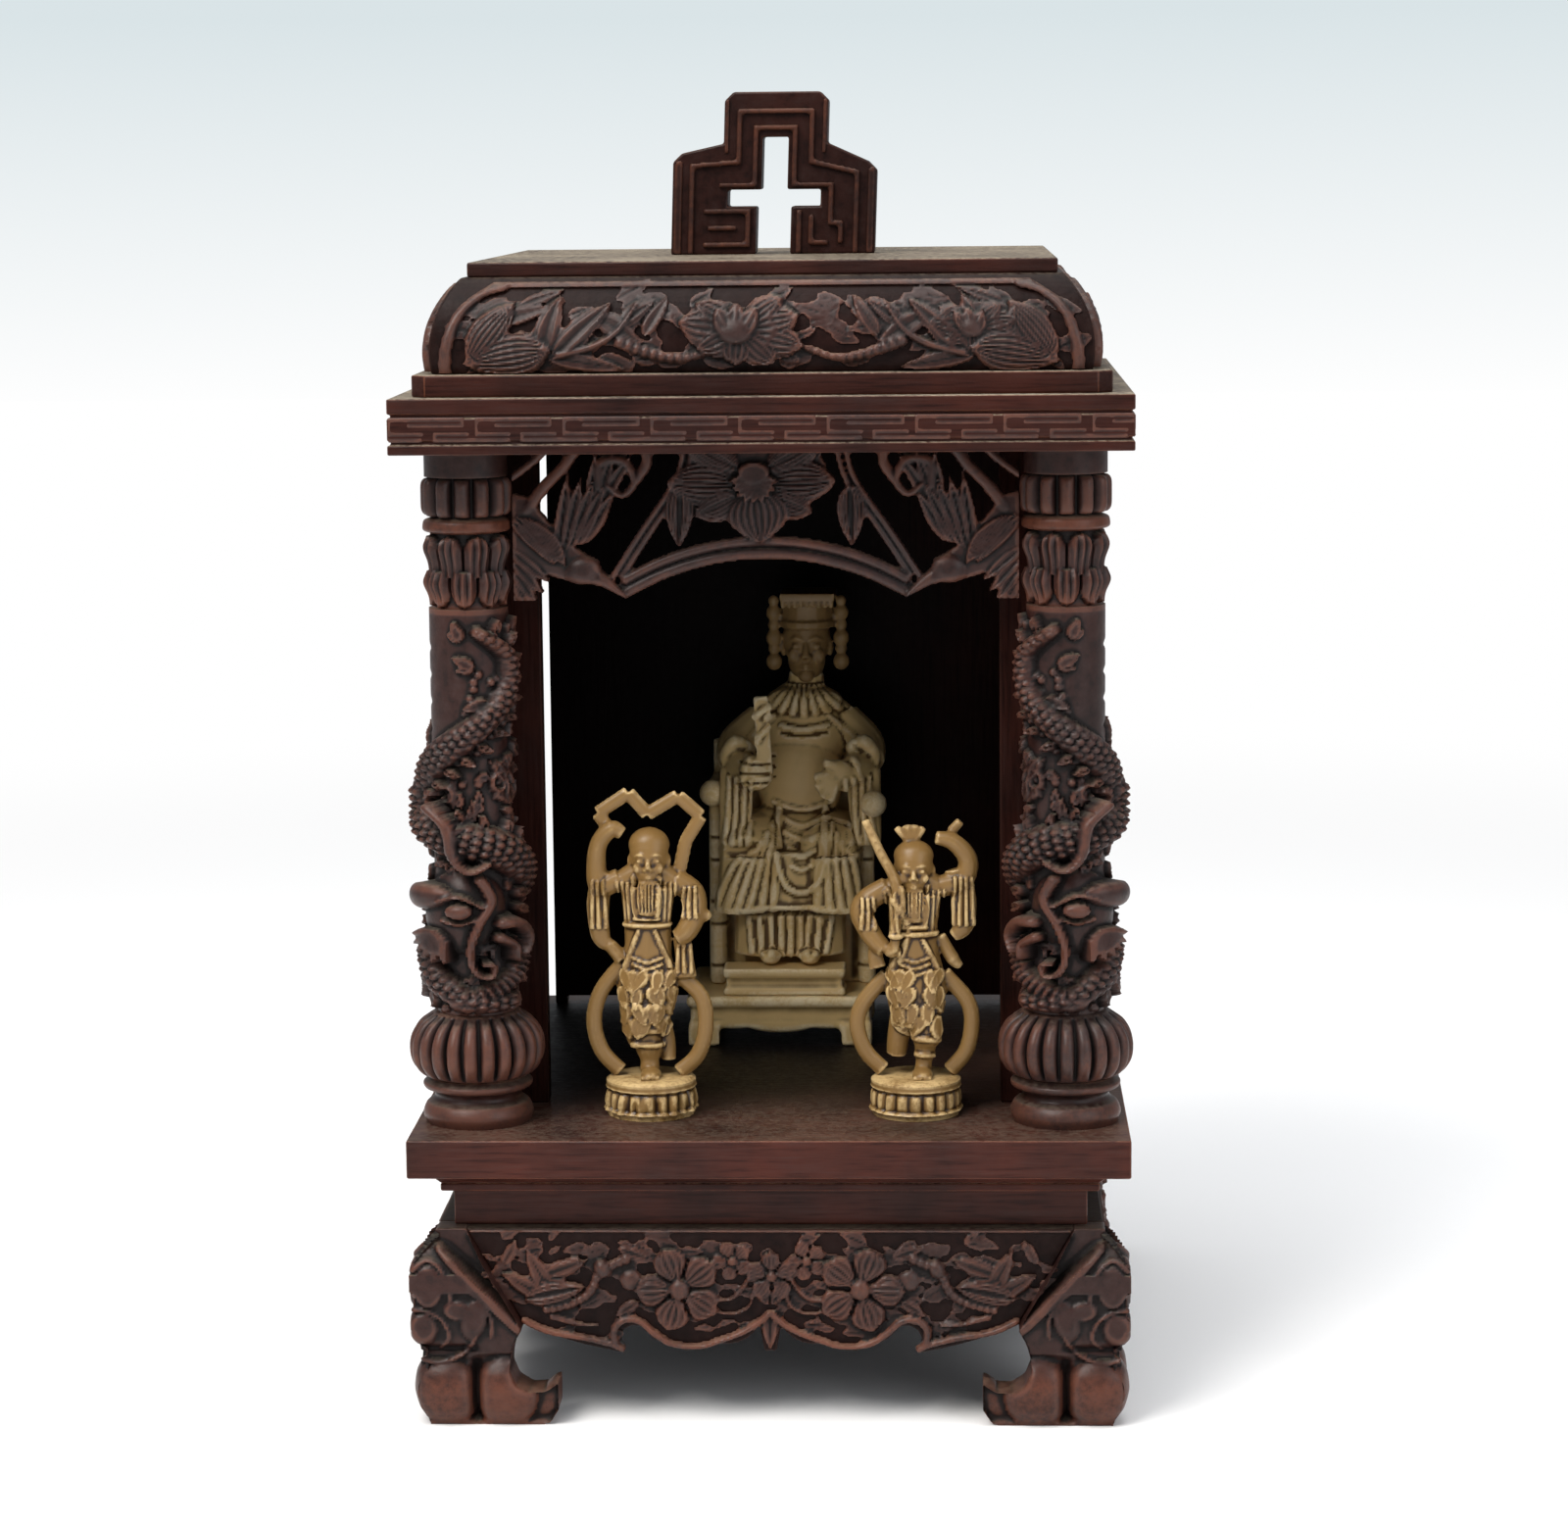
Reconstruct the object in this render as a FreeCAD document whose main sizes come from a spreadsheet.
import FreeCAD, Part
import math
import os
import re
import Sketcher
from FreeCAD import Vector

# Carved wooden table shrine, in millimetres.
# The origin is on the table, below the middle of the shrine. +Z is up and -Y is the open front.

os.makedirs("parts", exist_ok=True)
doc = FreeCAD.newDocument("Shrine")
sheet = doc.addObject("Spreadsheet::Sheet", "sizes")

# Driving sizes: name, value, what it is
sizes = [
    ("platform_width", 120, "floor board, left to right"),
    ("platform_depth", 120, "floor board, front to back"),
    ("platform_thickness", 6.5, "floor board"),
    ("foot_height", 33.4, "ground to the underside of the waist"),
    ("waist_height", 6.2, "plain band under the floor board"),
    ("waist_inset", 7, "waist face, in from the edge of the floor board"),
    ("waist_wall", 6, "thickness of the waist boards"),
    ("fillet_height", 1.4, "square moulding on the waist"),
    ("fillet_inset", 5, "its face, in from the edge of the floor board"),
    ("cove_height", 1.9, "sloping moulding under the floor board"),
    ("cove_inset", 3.2, "its upper edge, in from the edge of the floor board"),
    ("apron_inset", 4.2, "apron face, in from the edge of the floor board"),
    ("apron_wall", 4.5, "thickness of an apron"),
    ("apron_drop", 20.4, "apron, top to its scallops"),
    ("apron_cusp", 24.5, "points of the edge, out from the middle"),
    ("apron_scallop", 14, "scallops of the edge, out from the middle"),
    ("joint_foot", 18.6, "lower end of the slanting joint between foot and apron, in from the corner"),
    ("joint_low", 16.9, "its height above the ground"),
    ("foot_seat", 5, "width of a foot at its top"),
    ("foot_reach", 24.5, "length of a foot along a side"),
    ("foot_wall", 9, "thickness of a foot"),
    ("curl_radius", 4.5, "open curl on the inside of a foot"),
    ("opening_height", 113.5, "floor to the underside of the cornice"),
    ("opening_width", 77.6, "between the stiles beside the niche"),
    ("stile_thickness", 4, "stile beside the niche"),
    ("stile_setback", 28, "stile face, behind the front edge of the floor"),
    ("wall_gap", 95, "between the side walls"),
    ("wall_thickness", 4, "side wall"),
    ("rear_inset", 5, "rear end of the walls, in from the edge of the floor"),
    ("board_thickness", 3.5, "back board"),
    ("board_slit", 1.9, "gap beside the back board"),
    ("board_lift", 1.6, "gap under the back board"),
    ("board_lug", 2.3, "foot at each lower corner of the back board"),
    ("pilaster_width", 9, "rear pilaster, front to back"),
    ("pilaster_proud", 4, "rear pilaster, out from the wall"),
    ("column_offset", 49.6, "column axis, out from the middle"),
    ("column_setback", 16.2, "column axis, behind the front edge of the floor"),
    ("shaft_radius", 6.7, "column shaft"),
    ("plinth_radius", 9.3, "round foot of the column"),
    ("plinth_height", 4, "round foot of the column"),
    ("collar_radius", 9.2, "disc under the cushion"),
    ("collar_height", 3.8, "disc and neck under the cushion"),
    ("neck_radius", 7.4, "neck under the disc"),
    ("cushion_radius", 11.4, "gadrooned cushion"),
    ("cushion_height", 11.2, "gadrooned cushion"),
    ("cushion_lobe", 1.1, "depth of the grooves between its lobes"),
    ("lobe_count", 18, "lobes round the cushion"),
    ("capital_height", 26.3, "capital, petals to abacus"),
    ("capital_radius", 7, "ring and abacus of the capital"),
    ("capital_lobes", 14, "lobes round the upper capital"),
    ("petal_count", 8, "petals in each row of the lower capital"),
    ("dragon_girth", 3.3, "radius of the dragon's body at the thickest"),
    ("dragon_depth", 1.2, "how far its body is sunk into the column"),
    ("abacus_height", 4.5, "top disc of the capital"),
    ("frieze_thickness", 3.6, "pierced board between the capitals"),
    ("frieze_height", 25.4, "pierced board between the capitals"),
    ("arch_span", 46.4, "clear width under the arch"),
    ("arch_rise", 6.3, "crown above the tips of the arch"),
    ("arch_band", 3.6, "width of the arch band"),
    ("cornice_width", 120.6, "cornice"),
    ("cornice_height", 9.1, "cornice"),
    ("cornice_frame", 18, "width of the cornice frame"),
    ("cornice_groove", 0.5, "depth of the grooves along the cornice"),
    ("cornice_bead", 1.6, "height of the beads along the cornice"),
    ("step_width", 113.8, "step above the cornice"),
    ("step_height", 3.6, "step above the cornice"),
    ("step_frame", 14.6, "width of the step's frame"),
    ("step_corner", 2.4, "cut corners of the step"),
    ("roof_width", 107.4, "coved roof at its foot"),
    ("roof_height", 15.5, "coved roof"),
    ("roof_lean", 4.6, "how far the cove leans in at the top"),
    ("roof_bulge", 1.8, "how far the cove bows out"),
    ("roof_wall", 3.2, "thickness of the roof panels"),
    ("ceiling_thickness", 3, "board that closes the niche above"),
    ("plate_width", 96.4, "flat top board"),
    ("plate_thickness", 2.4, "flat top board"),
    ("crest_width", 35.3, "pierced crest on the roof"),
    ("crest_shoulder", 19, "height of its shoulders"),
    ("crest_height", 27.8, "its full height"),
    ("crest_block", 17.9, "width of its raised middle"),
    ("crest_thickness", 9.5, "front to back"),
    ("crest_corner", 1.5, "cut corners"),
    ("crest_lean", 1, "how far its top leans to the right"),
    ("crest_fall_left", 1.6, "fall of its left shoulder towards the outside"),
    ("crest_fall_right", 3.2, "fall of its right shoulder towards the outside"),
    ("bar_width", 16.1, "bar of the cut-out"),
    ("bar_height", 2.9, "bar of the cut-out"),
    ("bar_level", 8.2, "underside of the bar, above the roof"),
    ("slot_width", 4.5, "upright slot above the bar"),
    ("slot_top", 20.1, "top of the upright slot, above the roof"),
    ("leg_gap", 6, "gap between the legs of the crest"),
    ("figure_clearance", 8.9, "dais to the back board"),
    ("dais_width", 34.4, "stand of the seated figure"),
    ("dais_offset", -0.8, "its middle, right of the middle of the shrine"),
    ("dais_depth", 30, "stand of the seated figure"),
    ("dais_height", 9.2, "stand of the seated figure"),
    ("dais_board", 3.4, "thickness of its top"),
    ("dais_leg", 5.5, "its bracket feet"),
    ("stool_width", 22.5, "footstool"),
    ("stool_depth", 8, "footstool"),
    ("stool_height", 5, "footstool"),
    ("seat_height", 20, "chair seat above the dais"),
    ("chair_width", 30, "chair"),
    ("chair_depth", 16, "chair"),
    ("chair_back", 44, "chair back above the dais"),
    ("chair_wall", 2.5, "chair back and arms"),
    ("arm_height", 37, "chair arms above the dais"),
    ("knob_radius", 1.9, "round ends of the chair arms"),
    ("figure_height", 74, "seated figure above the dais, with its crown"),
    ("figure_lean", 3.6, "how far the figure leans to the right at its crown"),
    ("robe_girth", 10, "ten of the small units in which the seated figure is laid out"),
    ("left_height", 43.6, "left standing figure without its base, to the crown of its head"),
    ("right_height", 39.6, "right standing figure without its base, to the crown of its head"),
    ("skirt_girth", 10, "ten of the small units in which a standing figure is laid out"),
    ("ribbon_height", 5.8, "ribbon or crest above a standing figure's head"),
    ("attendant_base_radius", 8.4, "round base of a standing figure"),
    ("attendant_base_height", 6.5, "round base of a standing figure"),
    ("base_petals", 10, "petals round that base"),
    ("attendant_left", 20.6, "left figure, out from the middle"),
    ("attendant_right", 24.4, "right figure, out from the middle"),
    ("attendant_setback", 20.8, "figure, behind the front edge of the floor"),
    ("ring_radius", 9, "ring beside a standing figure's legs"),
    ("ring_wire", 1.1, "thickness of that ring"),
]
for row, (name, value, note) in enumerate(sizes, start=1):
    sheet.set(f"A{row}", name)
    sheet.set(f"B{row}", str(value))
    sheet.set(f"C{row}", note)
    sheet.setAlias(f"B{row}", name)
doc.recompute()

names = sorted((name for name, value, note in sizes), key=len, reverse=True)
word = re.compile(r"\b(" + "|".join(names) + r")\b")


def get(name):
    """The value of a named cell."""
    return float(getattr(sheet, name))


def bind(item, prop, formula):
    """Tie a property to a formula of named cells."""
    item.setExpression(prop, word.sub(r"sizes.\1", str(formula)))


# What stands on what, from the ground up
stack = ["foot_height", "waist_height", "fillet_height", "cove_height", "platform_thickness",
         "opening_height", "cornice_height", "step_height", "roof_height", "plate_thickness"]


def under(name):
    """Formula of the level at which a layer of the stack starts."""
    return "(0 + " + " + ".join(stack[:stack.index(name)]) + ")"


def level(name):
    """The same level as a number."""
    return sum(get(layer) for layer in stack[:stack.index(name)])


floor = under("opening_height")
floor_z = level("opening_height")
front = "(-platform_depth / 2)"
front_y = -get("platform_depth") / 2
rear_y = get("platform_depth") / 2
pieces = []


def keep(item, label):
    """Name a finished piece and put it on the list of pieces."""
    item.Label = label
    pieces.append(item)
    return item


def put(item, x="0", y="0", z="0"):
    """Tie a piece's place to formulas."""
    bind(item, ".Placement.Base.x", x)
    bind(item, ".Placement.Base.y", y)
    bind(item, ".Placement.Base.z", z)
    return item


def box(label, width, depth, height, x, y, z):
    """A board from its low corner."""
    item = doc.addObject("Part::Box", label)
    bind(item, "Length", width)
    bind(item, "Width", depth)
    bind(item, "Height", height)
    return put(item, x, y, z)


def feature(label, shape):
    """A piece whose shape is worked out in code, in the shrine's own frame."""
    item = doc.addObject("Part::Feature", label)
    item.Shape = shape
    return keep(item, label)


def plane_of(body, role):
    """One of a body's own origin planes."""
    return next(f for f in body.Origin.OriginFeatures if f.Role == role)


def polygon(sketch, corners):
    """A closed outline whose corners are tied to formulas, each pair across and up."""
    count = len(corners)
    turn = 2 * math.pi / count
    first = sketch.GeometryCount
    ring = [Vector(math.cos(i * turn), math.sin(i * turn), 0) for i in range(count + 1)]
    for i in range(count):
        sketch.addGeometry(Part.LineSegment(ring[i], ring[i + 1]), False)
    for i in range(count):
        following = first + (i + 1) % count
        sketch.addConstraint(Sketcher.Constraint("Coincident", first + i, 2, following, 1))
    for i, corner in enumerate(corners):
        for kind, formula in zip(("DistanceX", "DistanceY"), corner):
            number = sketch.addConstraint(Sketcher.Constraint(kind, -1, 1, first + i, 1, 1.0))
            bind(sketch, f"Constraints[{number}]", formula)


def padded(label, role, outlines, thickness, middle=False):
    """A body padded from outlines on one of its own planes. Inner outlines are holes."""
    body = doc.addObject("PartDesign::Body", label)
    sketch = body.newObject("Sketcher::SketchObject", label + "_outline")
    sketch.AttachmentSupport = [(plane_of(body, role), "")]
    sketch.MapMode = "FlatFace"
    for corners in outlines:
        polygon(sketch, corners)
    pad = body.newObject("PartDesign::Pad", label + "_pad")
    pad.Profile = sketch
    pad.Midplane = middle
    bind(pad, "Length", thickness)
    doc.recompute()
    return body


def rectangle(width, depth):
    """Corners of a rectangle about the origin."""
    across = f"({width}) / 2"
    along = f"({depth}) / 2"
    return [(f"-{across}", f"-{along}"), (across, f"-{along}"), (across, along), (f"-{across}", along)]


def line(a, b):
    return Part.LineSegment(Vector(*a), Vector(*b)).toShape()


def arc(a, b, c):
    return Part.Arc(Vector(*a), Vector(*b), Vector(*c)).toShape()


def chords(a, b, c, count):
    """Points that divide the arc from a through b to c into equal chords, without a."""
    points = arc((*a, 0), (*b, 0), (*c, 0)).discretize(Number=count + 1)
    return [(point.x, point.y) for point in points[1:-1]] + [c]


def trace(start, steps, place, count=0):
    """A closed wire through steps: a point for a line, or a middle and an end for an arc.
    With a count, each arc is cut into that many chords."""
    edges = []
    here = start
    for step in steps:
        bent = isinstance(step[0], tuple)
        if bent and count == 0:
            edges.append(arc(place(*here), place(*step[0]), place(*step[1])))
            here = step[1]
            continue
        for point in chords(here, step[0], step[1], count) if bent else [step]:
            edges.append(line(place(*here), place(*point)))
            here = point
    if here != start:
        edges.append(line(place(*here), place(*start)))
    return Part.Wire(edges)


def upright(y):
    """Puts a drawn point on the plane across the shrine at y."""
    return lambda a, b: (a, y, b)


def sideways(x):
    """Puts a drawn point on the plane along the shrine at x."""
    return lambda a, b: (x, a, b)


def slab(wire, direction):
    return Part.Face(wire).extrude(Vector(*direction))


def joined(shapes):
    whole = shapes[0].multiFuse(shapes[1:])
    return whole.removeSplitter()


def skin(rings):
    """A carved solid through rings of equally many points, with flat facets."""
    faces = []
    count = len(rings[0])
    for low, high in zip(rings, rings[1:]):
        for i in range(count):
            j = (i + 1) % count
            faces.append(Part.Face(Part.makePolygon([low[i], low[j], high[j], low[i]])))
            faces.append(Part.Face(Part.makePolygon([low[i], high[j], high[i], low[i]])))
    for ring in (rings[0], rings[-1]):
        middle = sum(ring, Vector()) * (1 / count)
        for i in range(count):
            faces.append(Part.Face(Part.makePolygon([ring[i], ring[(i + 1) % count], middle, ring[i]])))
    shell = Part.makeShell(faces)
    shell.sewShape()
    solid = Part.makeSolid(Part.Shell(shell.Faces))
    if solid.Volume < 0:
        solid.reverse()
    return solid


def oval(x, y, z, half_x, half_y, count=10):
    """A level ring of points."""
    turns = [2 * math.pi * i / count for i in range(count)]
    return [Vector(x + half_x * math.cos(t), y + half_y * math.sin(t), z) for t in turns]


def limb(stations, count=7):
    """A solid along points with a radius at each: x, y, z, radius."""
    points = [Vector(*station[:3]) for station in stations]
    rings = []
    for i, station in enumerate(stations):
        ahead = points[min(i + 1, len(points) - 1)] - points[max(i - 1, 0)]
        ahead.normalize()
        side = ahead.cross(Vector(0, 1, 0))
        if side.Length < 0.2:
            side = ahead.cross(Vector(1, 0, 0))
        side.normalize()
        over = side.cross(ahead)
        turns = [2 * math.pi * k / count for k in range(count)]
        rings.append([points[i] + (side * math.cos(t) + over * math.sin(t)) * station[3] for t in turns])
    return skin(rings)


def turned(levels, x, y, z):
    """A turned solid with flat facets: a height and a radius at each level."""
    return skin([oval(x, y, z + high, radius, radius, 28) for high, radius in levels])


def fluted(levels, lobes, groove, x, y, z):
    """A lobed solid of flat facets: a height and a radius at each level."""
    rings = []
    for high, radius in levels:
        ring = []
        for i in range(3 * lobes):
            turn = 2 * math.pi * i / (3 * lobes)
            reach = radius * (1 - groove) if i % 3 == 0 else radius
            ring.append(Vector(x + reach * math.cos(turn), y + reach * math.sin(turn), z + high))
        rings.append(ring)
    return skin(rings)


def mirrored(shape, across=(1, 0, 0)):
    return shape.mirror(Vector(0, 0, 0), Vector(*across))


# Floor board and the mouldings under it
floor_outline = rectangle("platform_width", "platform_depth")
platform = padded("platform", "XY_Plane", [floor_outline], "platform_thickness")
keep(put(platform, z=under("platform_thickness")), "platform")

half_w = get("platform_width") / 2
half_d = get("platform_depth") / 2


def moulding(label, layer, low_inset, high_inset):
    """A hollow moulding that tapers from one inset to another over one layer."""
    low = level(layer)
    high = low + get(layer)
    wall = get("waist_wall")
    rings = []
    for inset, z in ((low_inset, low), (high_inset, high)):
        w = half_w - inset
        d = half_d - inset
        rings.append(Part.makePolygon([Vector(x, y, z) for x, y in
                     ((-w, -d), (w, -d), (w, d), (-w, d), (-w, -d))]))
    solid = Part.makeLoft(rings, True, True)
    inner = get("waist_inset") + wall
    hole = Part.makeBox(2 * (half_w - inner), 2 * (half_d - inner), high - low,
                        Vector(inner - half_w, inner - half_d, low))
    return feature(label, solid.cut(hole))


moulding("waist_band", "waist_height", get("waist_inset"), get("waist_inset"))
moulding("waist_fillet", "fillet_height", get("fillet_inset"), get("fillet_inset"))
moulding("waist_cove", "cove_height", get("fillet_inset"), get("cove_inset"))


# Feet: corner legs whose two wings bulge at the knee and end in an open curl
def foot_outside(top):
    """The bulging outer edge of a foot, from its top to the ground, measured from its corner."""
    return [
        ((0.6, top * 0.87), (0.2, top * 0.66)),
        ((0.5, top * 0.48), (1.4, top * 0.36)),
        ((0.9, top * 0.16), (2.6, 0)),
    ]


def foot_shape():
    """A foot at the left front corner, with its outermost corner at the origin."""
    top = get("foot_height")
    reach = get("foot_reach")
    wall = get("foot_wall")
    curl = get("curl_radius")
    seat = get("apron_inset") + get("foot_seat")
    toe = reach - curl
    wing = [
        (toe - curl, 0),
        ((reach - 0.4, curl * 0.35), (reach, curl * 1.7)),
        ((toe, curl * 1.3), (toe - curl * 0.8, curl * 2.2)),
        ((toe - curl * 0.6, curl * 3.2), (get("joint_foot"), get("joint_low"))),
        (seat, top),
        (get("apron_inset"), top),
    ] + foot_outside(top)
    strip = [(wall, top), (get("apron_inset"), top)] + foot_outside(top)
    start = (3, 0)
    front_wing = slab(trace(start, wing, upright(0), 4), (0, reach, 0))
    front_wing = front_wing.common(slab(trace((wall, 0), strip, sideways(0), 4), (reach, 0, 0)))
    side_wing = slab(trace(start, wing, sideways(0), 4), (reach, 0, 0))
    side_wing = side_wing.common(slab(trace((wall, 0), strip, upright(0), 4), (0, reach, 0)))
    return joined([front_wing, side_wing])


corner = foot_shape()
corner.translate(Vector(-half_w, -half_d, 0))
feature("foot_front_left", corner)
feature("foot_front_right", mirrored(corner))
feature("foot_rear_left", mirrored(corner, (0, 1, 0)))
feature("foot_rear_right", mirrored(mirrored(corner, (0, 1, 0))))


# Aprons: boards between the feet, with a scalloped lower edge and a small pendant
def apron(label, span, place, through):
    top = get("foot_height")
    low = top - get("apron_drop")
    joint_x = span / 2 - get("joint_foot")
    joint_z = get("joint_low")
    seat_x = span / 2 - get("apron_inset") - get("foot_seat")
    scallop = get("apron_scallop")
    cusp = get("apron_cusp")
    half = [
        (seat_x, top),
        (joint_x, joint_z),
        (((joint_x + cusp) / 2, low + 0.9), (cusp, low - 1)),
        ((cusp - 0.4, low + 3.4), (cusp - 2.8, low + 3.6)),
        ((scallop, low - 0.6), (scallop - 5.5, low + 0.6)),
        ((2.9, low + 2.4), (1.8, low + 4)),
        (1, low - 0.6),
    ]
    outline = trace((0, top), half + [(0, low - 0.6)], place, 5)
    return slab(outline, through)


thick = get("apron_wall")
apron_y = -half_d + get("apron_inset")
apron_x = half_w - get("apron_inset")
half_apron = apron("apron_front", get("platform_width"), upright(apron_y), (0, thick, 0))
front_apron = joined([half_apron, mirrored(half_apron)])
feature("apron_front", front_apron)
feature("apron_rear", mirrored(front_apron, (0, 1, 0)))
half_apron = apron("apron_right", get("platform_depth"), sideways(apron_x), (-thick, 0, 0))
side_apron = joined([half_apron, mirrored(half_apron, (0, 1, 0))])
feature("apron_right", side_apron)
feature("apron_left", mirrored(side_apron))


# Walls of the niche
wall_x = "wall_gap / 2"
wall_y = f"({front} + stile_setback + stile_thickness)"
wall_run = "(platform_depth - rear_inset - stile_setback - stile_thickness)"
rear = "(platform_depth / 2 - rear_inset)"
left_wall = box("side_wall_left", "wall_thickness", wall_run, "opening_height",
                f"-{wall_x} - wall_thickness", wall_y, floor)
right_wall = box("side_wall_right", "wall_thickness", wall_run, "opening_height", wall_x, wall_y, floor)
keep(left_wall, "side_wall_left")
keep(right_wall, "side_wall_right")
stile_width = "(wall_gap / 2 + wall_thickness - opening_width / 2)"
stile_y = f"({front} + stile_setback)"
keep(box("stile_left", stile_width, "stile_thickness", "opening_height",
         f"-opening_width / 2 - {stile_width}", stile_y, floor), "stile_left")
keep(box("stile_right", stile_width, "stile_thickness", "opening_height",
         "opening_width / 2", stile_y, floor), "stile_right")
post_y = f"({rear} - pilaster_width)"
keep(box("rear_post_left", "pilaster_proud", "pilaster_width", "opening_height",
         f"-{wall_x} - wall_thickness - pilaster_proud", post_y, floor), "rear_post_left")
keep(box("rear_post_right", "pilaster_proud", "pilaster_width", "opening_height",
         f"{wall_x} + wall_thickness", post_y, floor), "rear_post_right")
board_corners = [
    ("-wall_gap / 2 + board_slit", "0"),
    ("-wall_gap / 2 + board_slit + board_lug", "0"),
    ("-wall_gap / 2 + board_slit + board_lug", "board_lift"),
    ("wall_gap / 2 - board_lug", "board_lift"),
    ("wall_gap / 2 - board_lug", "0"),
    ("wall_gap / 2", "0"),
    ("wall_gap / 2", "opening_height"),
    ("-wall_gap / 2 + board_slit", "opening_height"),
]
back_board = padded("back_board", "XZ_Plane", [board_corners], "board_thickness")
keep(put(back_board, y=rear, z=floor), "back_board")


# Columns: plinth, cushion, shaft and capital
column_y = front_y + get("column_setback")
plinth_h = get("plinth_height")
collar_h = get("collar_height")
cushion_h = get("cushion_height")
cushion_z = floor_z + plinth_h + collar_h
shaft_z = cushion_z + cushion_h
capital_z = level("cornice_height") - get("capital_height")


def column_base(x):
    r = get("plinth_radius")
    neck = get("neck_radius")
    disc = get("collar_radius")
    levels = [
        (0, r - 0.5), (plinth_h * 0.2, r), (plinth_h * 0.6, r), (plinth_h * 0.85, r - 1), (plinth_h, neck),
        (plinth_h + collar_h * 0.25, neck), (plinth_h + collar_h * 0.5, disc - 0.3),
        (plinth_h + collar_h * 0.7, disc), (plinth_h + collar_h * 0.87, disc - 0.5),
        (plinth_h + collar_h, neck + 0.6),
    ]
    return turned(levels, x, column_y, floor_z)


def cushion(x):
    """A melon-shaped cushion with upright lobes."""
    r = get("cushion_radius")
    top = get("neck_radius") + 0.6
    levels = [(0, top)]
    for i in range(1, 6):
        rise = math.sin(math.pi * i / 6)
        levels.append((cushion_h * (1 - math.cos(math.pi * i / 6)) / 2, top + (r - top) * rise))
    levels.append((cushion_h, top))
    return fluted(levels, int(get("lobe_count")), get("cushion_lobe") / r, x, column_y, cushion_z)


# Way of the dragon round a column: degrees from the front towards the niche, share of the shaft's height,
# share of its girth
dragon_way = [
    (20, 0.95, 0.3), (62, 0.87, 0.45), (56, 0.79, 0.65), (12, 0.71, 0.85), (-44, 0.64, 0.95), (-90, 0.56, 1),
    (-86, 0.48, 1), (-26, 0.44, 1), (44, 0.41, 1), (100, 0.35, 1), (150, 0.27, 0.95), (208, 0.20, 0.9),
    (265, 0.15, 0.8), (316, 0.08, 0.65), (364, 0.05, 0.55),
]


def dragon(x, side):
    """The dragon on a column: a body that winds down the shaft, and its heavy head."""
    r = get("shaft_radius")
    girth = get("dragon_girth")
    high = capital_z - shaft_z

    def place(turn, share, out):
        angle = math.radians(turn)
        return (x - side * out * math.sin(angle), column_y - out * math.cos(angle), shaft_z + high * share)

    body = []
    for turn, share, part in dragon_way:
        thick = girth * part
        body.append((*place(turn, share, r + thick * 0.75 - get("dragon_depth")), thick))
    head = [(*place(-14, 0.37, r), girth * 0.6), (*place(-12, 0.31, r + 0.6), girth * 1.2),
            (*place(-14, 0.24, r + 0.4), girth * 1.35), (*place(-8, 0.16, r), girth)]
    snout = [(*place(-30, 0.27, r + girth * 0.5), girth), (*place(-78, 0.3, r + girth * 0.3), girth * 0.6)]
    return [limb(body), limb(head, 6), limb(snout, 6)]


def shaft(x, side):
    r = get("shaft_radius")
    column = turned([(0, r), (capital_z - shaft_z, r)], x, column_y, shaft_z)
    return joined([column] + dragon(x, side))


def capital(x):
    """Two rows of petals, a worn ring, a lobed band and the abacus."""
    whole = get("capital_height")
    r = get("capital_radius")
    lobes = int(get("capital_lobes"))
    petals = int(get("petal_count"))
    abacus_low = whole - get("abacus_height")
    band_low = whole * 0.58
    ring_low = whole * 0.48
    row_high = whole * 0.25
    shapes = [
        fluted([(0, r - 1.2), (row_high * 0.25, r + 0.1), (row_high * 0.8, r), (row_high, r - 0.9)],
               petals, 0.13, x, column_y, capital_z),
        fluted([(row_high, r - 0.9), (row_high * 1.3, r + 0.4), (row_high * 1.7, r), (ring_low, r - 1)],
               petals, 0.13, x, column_y, capital_z),
        turned([(ring_low, r - 1), (ring_low * 0.75 + band_low * 0.25, r + 0.2),
                (ring_low * 0.25 + band_low * 0.75, r + 0.2), (band_low, r - 1)], x, column_y, capital_z),
        fluted([(band_low, r - 1), (band_low + 1.4, r), (abacus_low - 1.2, r), (abacus_low, r - 0.7)],
               lobes, 0.13, x, column_y, capital_z),
        turned([(abacus_low, r + 0.1), (whole, r + 0.1)], x, column_y, capital_z),
    ]
    return joined(shapes)


for side, x in (("left", -get("column_offset")), ("right", get("column_offset"))):
    feature("column_base_" + side, column_base(x))
    feature("cushion_" + side, cushion(x))
    feature("column_shaft_" + side, shaft(x, math.copysign(1, x)))
    feature("capital_" + side, capital(x))


# Pierced frieze between the capitals: an arch, a hanging flower, stalks and two birds
frieze_y = column_y - get("frieze_thickness") / 2
frieze_low = level("cornice_height") - get("frieze_height")
frieze_high = level("cornice_height")
span = get("arch_span") / 2
rise = get("arch_rise")
band = get("arch_band")
reach_x = get("column_offset") - get("capital_radius") - 0.6
tip_z = frieze_low + 0.4
arch_radius = (span * span + rise * rise) / (2 * rise)
arch_z = tip_z + rise - arch_radius


def cut_out(start, steps):
    """A flat piece of the frieze."""
    return slab(trace(start, steps, upright(frieze_y), 6), (0, get("frieze_thickness"), 0))


def bar(x1, z1, x2, z2, width):
    """A straight stalk."""
    run = math.hypot(x2 - x1, z2 - z1)
    dx = -(z2 - z1) / run * width / 2
    dz = (x2 - x1) / run * width / 2
    return cut_out((x1 + dx, z1 + dz), [(x2 + dx, z2 + dz), (x2 - dx, z2 - dz), (x1 - dx, z1 - dz)])


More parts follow.
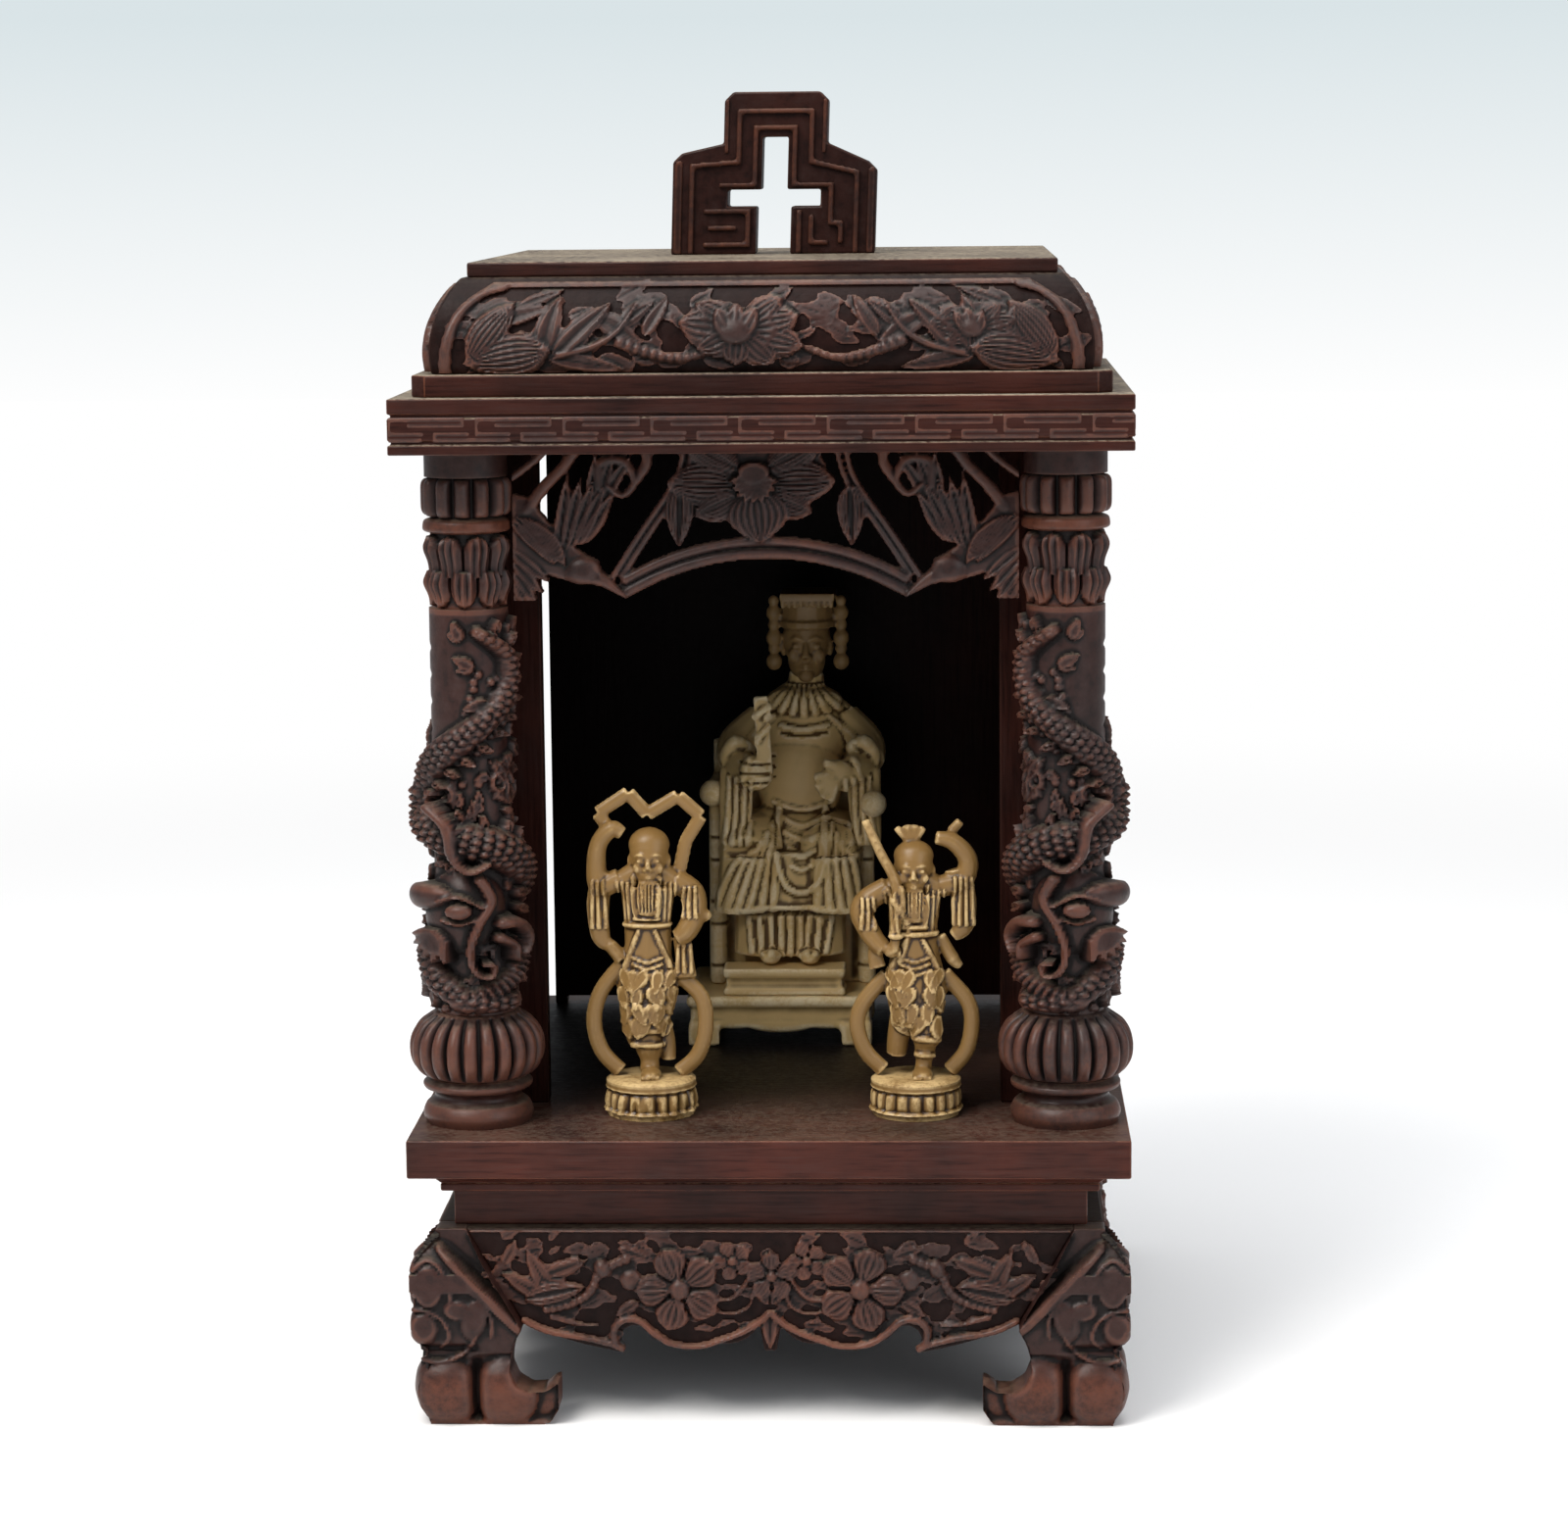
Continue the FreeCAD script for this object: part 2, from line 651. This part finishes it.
def leaf(x1, z1, x2, z2, width):
    """A pointed leaf or petal between two points."""
    run = math.hypot(x2 - x1, z2 - z1)
    dx = -(z2 - z1) / run * width / 2
    dz = (x2 - x1) / run * width / 2
    mx = (x1 + x2) / 2
    mz = (z1 + z2) / 2
    sides = [((mx + dx, mz + dz), (x2, z2)), ((mx - dx, mz - dz), (x1, z1))]
    return slab(trace((x1, z1), sides, upright(frieze_y), 4), (0, get("frieze_thickness"), 0))


def frieze_half():
    """The left half, with one bird whose beak is at the tip of the arch."""
    top = frieze_high
    tip = (-span, tip_z)
    inner_middle = (-span / 2, arch_z + math.sqrt(arch_radius ** 2 - span ** 2 / 4))
    outer_middle = (-span / 2, tip_z + rise * 0.8 + band)
    arch = cut_out(tip, [(inner_middle, (0, tip_z + rise)), (0, tip_z + rise + band),
                         (outer_middle, (-span - 0.8, tip_z + 1.6))])
    shapes = [
        arch,
        leaf(-span - 0.2, tip_z, -span - 8, tip_z + 5.5, 5),
        leaf(-span - 5, tip_z + 1.5, -reach_x, tip_z + 11, 8),
        leaf(-span - 7, tip_z + 5.5, -span - 3, top + 2, 6.5),
        leaf(-span - 9, tip_z + 4, -reach_x - 1, tip_z + 1, 6),
        bar(-span + 1.5, tip_z + 4.5, -15, top, 1.4),
        bar(-reach_x, top - 9, -reach_x + 12, top, 1.6),
        leaf(-15.5, top - 3, -15, top - 13, 5.4),
        bar(-15.3, top, -15.3, top - 4, 1.2),
        leaf(-1.5, top - 2, -15.5, top - 3.5, 8),
        Part.makeBox(reach_x, get("frieze_thickness"), 1.2, Vector(-reach_x, frieze_y, top - 1.2)),
    ]
    return shapes


half_frieze = frieze_half()
flower = [leaf(0, frieze_high - 1, 0, tip_z + rise + band - 0.4, 11),
          cut_out((-6, frieze_high), [((0, frieze_high - 8), (6, frieze_high))])]
frieze = joined(half_frieze + [mirrored(s) for s in half_frieze] + flower)
trim = Part.makeBox(2 * reach_x, get("frieze_thickness"), get("frieze_height"),
                    Vector(-reach_x, frieze_y, frieze_low))
feature("arch_frieze", frieze.common(trim))


# Cornice with its two grooves, the step, the ceiling and the roof
cornice_z = under("cornice_height")
opening = "(cornice_width - 2 * cornice_frame)"
cornice_outline = rectangle("cornice_width", "cornice_width")
cornice = padded("cornice", "XY_Plane", [cornice_outline, rectangle(opening, opening)], "cornice_height")
bead = "cornice_bead"
wide = "(cornice_width + 2)"
narrow = "(cornice_width - 2 * cornice_groove)"
groove = "(cornice_bead * 0.45)"
grooved = []
for number, lift in (("low", bead), ("high", f"cornice_height - 2 * {bead}")):
    groove_z = f"{cornice_z} + {lift}"
    outer = box("groove_outer_" + number, wide, wide, groove, f"-{wide} / 2", f"-{wide} / 2", groove_z)
    inner = box("groove_inner_" + number, narrow, narrow, groove, f"-{narrow} / 2", f"-{narrow} / 2", groove_z)
    ring = doc.addObject("Part::Cut", "groove_" + number)
    ring.Base = outer
    ring.Tool = inner
    grooved.append(ring)
put(cornice, z=cornice_z)
for number, ring in enumerate(grooved):
    cut = doc.addObject("Part::Cut", f"cornice_cut_{number}")
    cut.Base = cornice
    cut.Tool = ring
    cornice = cut
keep(cornice, "cornice_ring")

w = "step_width / 2"
c = "step_corner"
octagon = [(f"-{w} + {c}", f"-{w}"), (f"{w} - {c}", f"-{w}"), (w, f"-{w} + {c}"), (w, f"{w} - {c}"),
           (f"{w} - {c}", w), (f"-{w} + {c}", w), (f"-{w}", f"{w} - {c}"), (f"-{w}", f"-{w} + {c}")]
step_opening = "(step_width - 2 * step_frame)"
step_outlines = [octagon, rectangle(step_opening, step_opening)]
step = padded("cornice_step", "XY_Plane", step_outlines, "step_height")
keep(put(step, z=under("step_height")), "cornice_step")
ceiling = padded("ceiling_board", "XY_Plane", [rectangle(opening, opening)], "ceiling_thickness")
keep(put(ceiling, z=cornice_z), "ceiling_board")


def cove_block(inset):
    """A solid with the cove's outline on all four sides."""
    half = get("roof_width") / 2 - inset
    lean = get("roof_lean")
    bulge = get("roof_bulge")
    high = get("roof_height")
    low = level("roof_height")
    mid = half - lean / 2 + bulge
    steps = [
        (half, low),
        ((mid, low + high / 2 + 1), (half - lean, low + high)),
        (lean - half, low + high),
        ((-mid, low + high / 2 + 1), (-half, low)),
    ]
    across = slab(trace((-half, low), steps, upright(-half - 5)), (0, 2 * half + 10, 0))
    along = slab(trace((-half, low), steps, sideways(-half - 5)), (2 * half + 10, 0, 0))
    return across.common(along)


cove = cove_block(0).cut(cove_block(get("roof_wall")))
far = get("roof_width")
low = level("roof_height")
for number, label in enumerate(("front", "right", "rear", "left")):
    corners = [Vector(0, 0, low), Vector(-far, -far, low), Vector(far, -far, low), Vector(0, 0, low)]
    wedge = Part.Face(Part.makePolygon(corners)).extrude(Vector(0, 0, get("roof_height")))
    wedge.rotate(Vector(0, 0, 0), Vector(0, 0, 1), 90 * number)
    feature("roof_cove_" + label, cove.common(wedge))

plate = padded("roof_plate", "XY_Plane", [rectangle("plate_width", "plate_width")], "plate_thickness")
keep(put(plate, z=under("plate_thickness")), "roof_plate")

# Pierced crest on the roof
def crest_side(side):
    """One outer side of the crest, from its foot to its top."""
    fall = f"crest_fall_{side}"
    return [
        ("leg_gap / 2", "0"),
        ("crest_width / 2", "0"),
        ("crest_width / 2", f"crest_shoulder - {fall} - crest_corner"),
        ("crest_width / 2 - crest_corner", f"crest_shoulder - {fall}"),
        ("crest_block / 2", "crest_shoulder"),
        ("crest_block / 2", "crest_height - crest_corner"),
        ("crest_block / 2 - crest_corner", "crest_height"),
    ]


crest_gap = [
    ("-leg_gap / 2", "bar_level"),
    ("-bar_width / 2", "bar_level"),
    ("-bar_width / 2", "bar_level + bar_height"),
    ("-slot_width / 2", "bar_level + bar_height"),
    ("-slot_width / 2", "slot_top"),
    ("slot_width / 2", "slot_top"),
    ("slot_width / 2", "bar_level + bar_height"),
    ("bar_width / 2", "bar_level + bar_height"),
    ("bar_width / 2", "bar_level"),
    ("leg_gap / 2", "bar_level"),
]
crest_left = [(f"-({x})", z) for x, z in reversed(crest_side("left"))]
crest_outline = crest_side("right") + crest_left + crest_gap
leaning = [(f"{x} + crest_lean * ({z}) / crest_height", z) for x, z in crest_outline]
crest = padded("crest", "XZ_Plane", [leaning], "crest_thickness", True)
keep(put(crest, z=under("plate_thickness") + " + plate_thickness"), "crest")


# Seated figure: a stand with bracket feet, a footstool, a chair and the figure on it
figure_y = rear_y - get("rear_inset") - get("board_thickness") - get("figure_clearance") - get("dais_depth")
dais_front = f"({rear} - board_thickness - figure_clearance - dais_depth)"
dais_top = floor_z + get("dais_height")
leg = get("dais_leg")
dais_w = get("dais_width")
dais_d = get("dais_depth")
under_board = get("dais_height") - get("dais_board")
dais_x = get("dais_offset") - dais_w / 2
dais_shape = Part.makeBox(dais_w, dais_d, get("dais_height"), Vector(dais_x, figure_y, floor_z))
gaps = [Part.makeBox(dais_w - 2 * leg, dais_d, under_board, Vector(dais_x + leg, figure_y, floor_z)),
        Part.makeBox(dais_w, dais_d - 2 * leg, under_board, Vector(dais_x, figure_y + leg, floor_z))]
feature("throne_dais", dais_shape.cut(gaps[0]).cut(gaps[1]))
keep(box("footstool", "stool_width", "stool_depth", "stool_height",
         "-stool_width / 2", f"{dais_front} + 1", f"{floor} + dais_height"), "footstool")

chair_w = get("chair_width")
chair_d = get("chair_depth")
chair_t = get("chair_wall")
arm_h = get("arm_height")
knob = get("knob_radius")
chair_y = figure_y + dais_d - chair_d - 0.5
chair_x = get("figure_lean") * 0.3
seat = dais_top + get("seat_height")
back_y = chair_y + chair_d - chair_t
chair_parts = [
    Part.makeBox(chair_w, chair_d, get("seat_height"), Vector(chair_x - chair_w / 2, chair_y, dais_top)),
    Part.makeBox(chair_w, chair_t, get("chair_back"), Vector(chair_x - chair_w / 2, back_y, dais_top)),
]
for x in (chair_x - chair_w / 2, chair_x + chair_w / 2 - chair_t):
    chair_parts.append(Part.makeBox(chair_t, chair_d, arm_h, Vector(x, chair_y, dais_top)))
    middle = x + chair_t / 2
    chair_parts.append(limb([(middle, chair_y - knob, dais_top + arm_h, knob * 0.6),
                             (middle, chair_y, dais_top + arm_h, knob),
                             (middle, back_y, dais_top + arm_h, knob * 0.9)], 8))
feature("throne_chair", joined(chair_parts))

figure_h = get("figure_height")
unit = get("robe_girth") / 10
seat_y = back_y - 6 * unit
shin_y = chair_y - 4.2 * unit
shoulder = dais_top + figure_h * 0.745
neck = shoulder + 2.4 * unit


def lean(z):
    """How far the figure leans to the right at a height."""
    return get("figure_lean") * (z - dais_top) / figure_h


def robe_ring(z, half_x, half_y, y):
    return oval(lean(z) + 0.3 * unit, y, z, half_x * unit, half_y * unit, 12)


def along(stations):
    """Stations of a limb whose offsets are in the figure's own units."""
    return [(lean(z) + x * unit, y, z, radius * unit) for x, y, z, radius in stations]


def robe():
    """Body, lap, shins and two sleeves."""
    inner = (chair_w / 2 - chair_t - 0.4) / unit
    knee = seat + 4 * unit
    hem = dais_top + get("stool_height") + 0.3
    lap_y = (seat_y + shin_y) / 2
    over_y = 1.5 * unit
    body = skin([
        robe_ring(seat + 0.3, inner - 0.5, 5.3, seat_y),
        robe_ring(seat + 12 * unit, inner - 2.5, 5, seat_y),
        robe_ring(shoulder - 8 * unit, inner - 2, 5.3, seat_y),
        robe_ring(shoulder, 8.4, 4.4, seat_y),
        robe_ring(neck, 3.6, 3, seat_y),
    ])
    lap = skin([
        robe_ring(seat + 0.3, inner - 0.5, 8, lap_y),
        robe_ring(knee + 2 * unit, inner - 1, 8.4, lap_y),
        robe_ring(knee + 9 * unit, inner - 3, 5.5, lap_y + over_y),
    ])
    shins = skin([
        robe_ring(hem, 10.4, 3.6, shin_y),
        robe_ring(hem + 9 * unit, 10.6, 3.8, shin_y),
        robe_ring(hem + 9.6 * unit, inner + 0.5, 4, shin_y),
        robe_ring(knee + 2 * unit, inner - 0.5, 4, shin_y),
        robe_ring(knee + 7 * unit, inner - 4, 2.6, shin_y + over_y),
    ])
    elbow = dais_top + figure_h * 0.56
    sleeves = []
    for side in (-1, 1):
        sleeves.append(limb(along([
            (side * 7.4 + 0.3, seat_y - unit, shoulder - 2 * unit, 3.2),
            (side * 10.6 + 0.3, seat_y - 4 * unit, elbow + 3 * unit, 3.6),
            (side * 9 + 0.3, seat_y - 11 * unit, elbow - 3 * unit, 3.2),
            (side * 6 + 0.3, seat_y - 15 * unit, elbow - 3.6 * unit, 2.2),
        ]), 8))
    return joined([body, lap, shins] + sleeves)


def crowned_head():
    """Head, neck and flat-topped crown with a hanging ornament on each side."""
    crown = dais_top + figure_h
    chin = crown - 16 * unit
    y = seat_y - 0.6 * unit
    head = skin([robe_ring(neck, 2.6, 2.6, seat_y), robe_ring(chin, 2.8, 3, y),
                 robe_ring(chin + 2.4 * unit, 3.9, 3.8, y), robe_ring(chin + 7 * unit, 4.3, 4.2, y),
                 robe_ring(chin + 8 * unit, 4.7, 4.7, y), robe_ring(crown, 4.9, 4.9, y)])
    sides = []
    for side in (-1, 1):
        sides.append(limb(along([
            (side * 6, y, chin - 0.6 * unit, 1), (side * 6.3, y, chin + 2 * unit, 1.6),
            (side * 6, y, chin + 8 * unit, 1.3), (side * 5.8, y, crown - unit, 1),
        ]), 6))
        cord = [(side * 4, y, chin + 10 * unit, 1), (side * 6.4, y, chin + 10 * unit, 1)]
        sides.append(limb(along(cord), 6))
    return joined([head] + sides)


feature("seated_figure", robe())
feature("seated_head", crowned_head())


# Standing figures: round lotus base, one leg, ragged skirt, robe, head, arms, ribbon and ring
def standing(x, flip, tall, ribbon):
    y = front_y + get("attendant_setback")
    z = floor_z + get("attendant_base_height")
    ring = get("ring_radius")
    wire = get("ring_wire")
    part = get("skirt_girth") / 10

    def station(out, forward, up, radius):
        return (x + flip * out * part, y - forward * part, z + tall * up, radius * part)

    def level_ring(up, half_x, half_y):
        return oval(x, y, z + tall * up, half_x * part, half_y * part, 10)

    body = skin([level_ring(0.23, 3.2, 2.6), level_ring(0.27, 5.3, 3.8), level_ring(0.38, 4.9, 3.6),
                 level_ring(0.48, 3.5, 2.8), level_ring(0.62, 3.6, 2.8), level_ring(0.73, 4.8, 3.2),
                 level_ring(0.79, 2.2, 2)])
    head = skin([level_ring(0.77, 1.8, 1.9), level_ring(0.81, 2.9, 2.9), level_ring(0.89, 3.3, 3.3),
                 level_ring(0.96, 2.8, 2.9), level_ring(1, 1.2, 1.4)])
    foot_part = limb([station(0.3, 0.6, 0, 2.2), station(0.2, 0.4, 0.04, 1.7), station(0, 0, 0.12, 1.5),
                      station(0, 0, 0.26, 2.7)], 8)
    spare_leg = limb([station(3.4, -1, 0.02, 1.2), station(2.8, -1, 0.14, 1.3),
                      station(1.4, -0.6, 0.28, 1.8)], 6)
    raised = limb([station(-3.6, 0, 0.7, 1.7), station(-7.4, 0.2, 0.6, 2.3), station(-8, 0.4, 0.76, 1.9),
                   station(-5.4, 0.6, 0.88, 1.4)], 7)
    hanging = limb([station(-7.4, 0.2, 0.62, 1.6), station(-7.8, 0.2, 0.48, 1.3),
                    station(-6.2, 0.2, 0.38, 0.7)], 6)
    lowered = limb([station(3.6, 0, 0.71, 1.8), station(7, 0.4, 0.62, 2), station(6.8, 1.2, 0.5, 1.6),
                    station(8.4, 1.4, 0.47, 1)], 7)
    cuff = limb([station(6.6, 0.8, 0.56, 1.7), station(5.8, 0.8, 0.36, 0.8)], 6)
    hoop = []
    for i in range(19):
        turn = math.radians(60 + 300 * i / 18)
        high = z + wire * 0.7 + ring * (1 + math.sin(turn))
        hoop.append((x + ring * 1.06 * math.cos(turn), y + 0.4 * part, high, wire))
    seat_cut = Part.makeBox(4 * ring, 4 * ring, 4 * wire, Vector(x - 2 * ring, y - 2 * ring, z - 4 * wire))
    shapes = [body, head, foot_part, spare_leg, raised, hanging, lowered, cuff]
    shapes += [limb(hoop, 6)] + ribbon(station, tall)
    whole = joined(shapes)
    return whole.cut(seat_cut)


def ribbon_loops(station, tall):
    """Two angular loops of ribbon above the head."""
    rise = get("ribbon_height") / tall
    left = [station(-4.6, 0, 0.88, 0.8), station(-7.8, 0, 0.99, 0.8), station(-4.6, 0, 1 + rise, 0.8),
            station(-0.6, 0, 1.02, 0.8), station(-1.6, 0, 0.96, 0.8)]
    right = [station(-0.6, 0, 1.02, 0.8), station(2.4, 0, 1.02 + rise * 0.9, 0.8), station(7.8, 0, 1.03, 0.8),
             station(5, 0, 0.86, 0.8), station(3.4, 0, 0.7, 0.8)]
    return [limb(left, 5), limb(right, 5)]


def crest_and_baton(station, tall):
    """A small crest of hair and a baton held up beside the head."""
    rise = get("ribbon_height") / tall
    shapes = [limb([station(0, 0, 0.97, 1.8), station(0, 0, 1 + rise * 0.55, 2.4)], 6)]
    shapes.append(limb([station(3.6, 1, 0.55, 1), station(7.6, 1, 1 + rise * 0.5, 0.8)], 5))
    shapes.append(limb([station(-5, 0, 0.9, 1.6), station(-7, 0, 1.02, 1.2)], 5))
    return shapes


def lotus_base(x):
    r = get("attendant_base_radius")
    high = get("attendant_base_height")
    levels = [(0, r), (high * 0.2, r), (high * 0.35, r - 0.8), (high * 0.62, r - 0.2), (high * 0.78, r - 0.2),
              (high, r - 1.4)]
    return fluted(levels, int(get("base_petals")), 0.06, x, front_y + get("attendant_setback"), floor_z)


left_x = -get("attendant_left")
right_x = get("attendant_right")
feature("attendant_base_left", lotus_base(left_x))
feature("attendant_base_right", lotus_base(right_x))
feature("attendant_left", standing(left_x, 1, get("left_height"), ribbon_loops))
feature("attendant_right", standing(right_x, -1, get("right_height"), crest_and_baton))

doc.recompute()
for item in doc.Objects:
    if "Invalid" in item.State or "Error" in item.State:
        raise RuntimeError(f"{item.Label} failed: {item.State}")
for item in pieces:
    if item.Shape.isNull() or not item.Shape.isValid():
        raise RuntimeError(f"{item.Label} has no valid shape")
for item in pieces:
    item.Shape.exportStep(f"parts/{item.Label}.step")
    print(item.Label, len(item.Shape.Solids), round(item.Shape.Volume, 1))
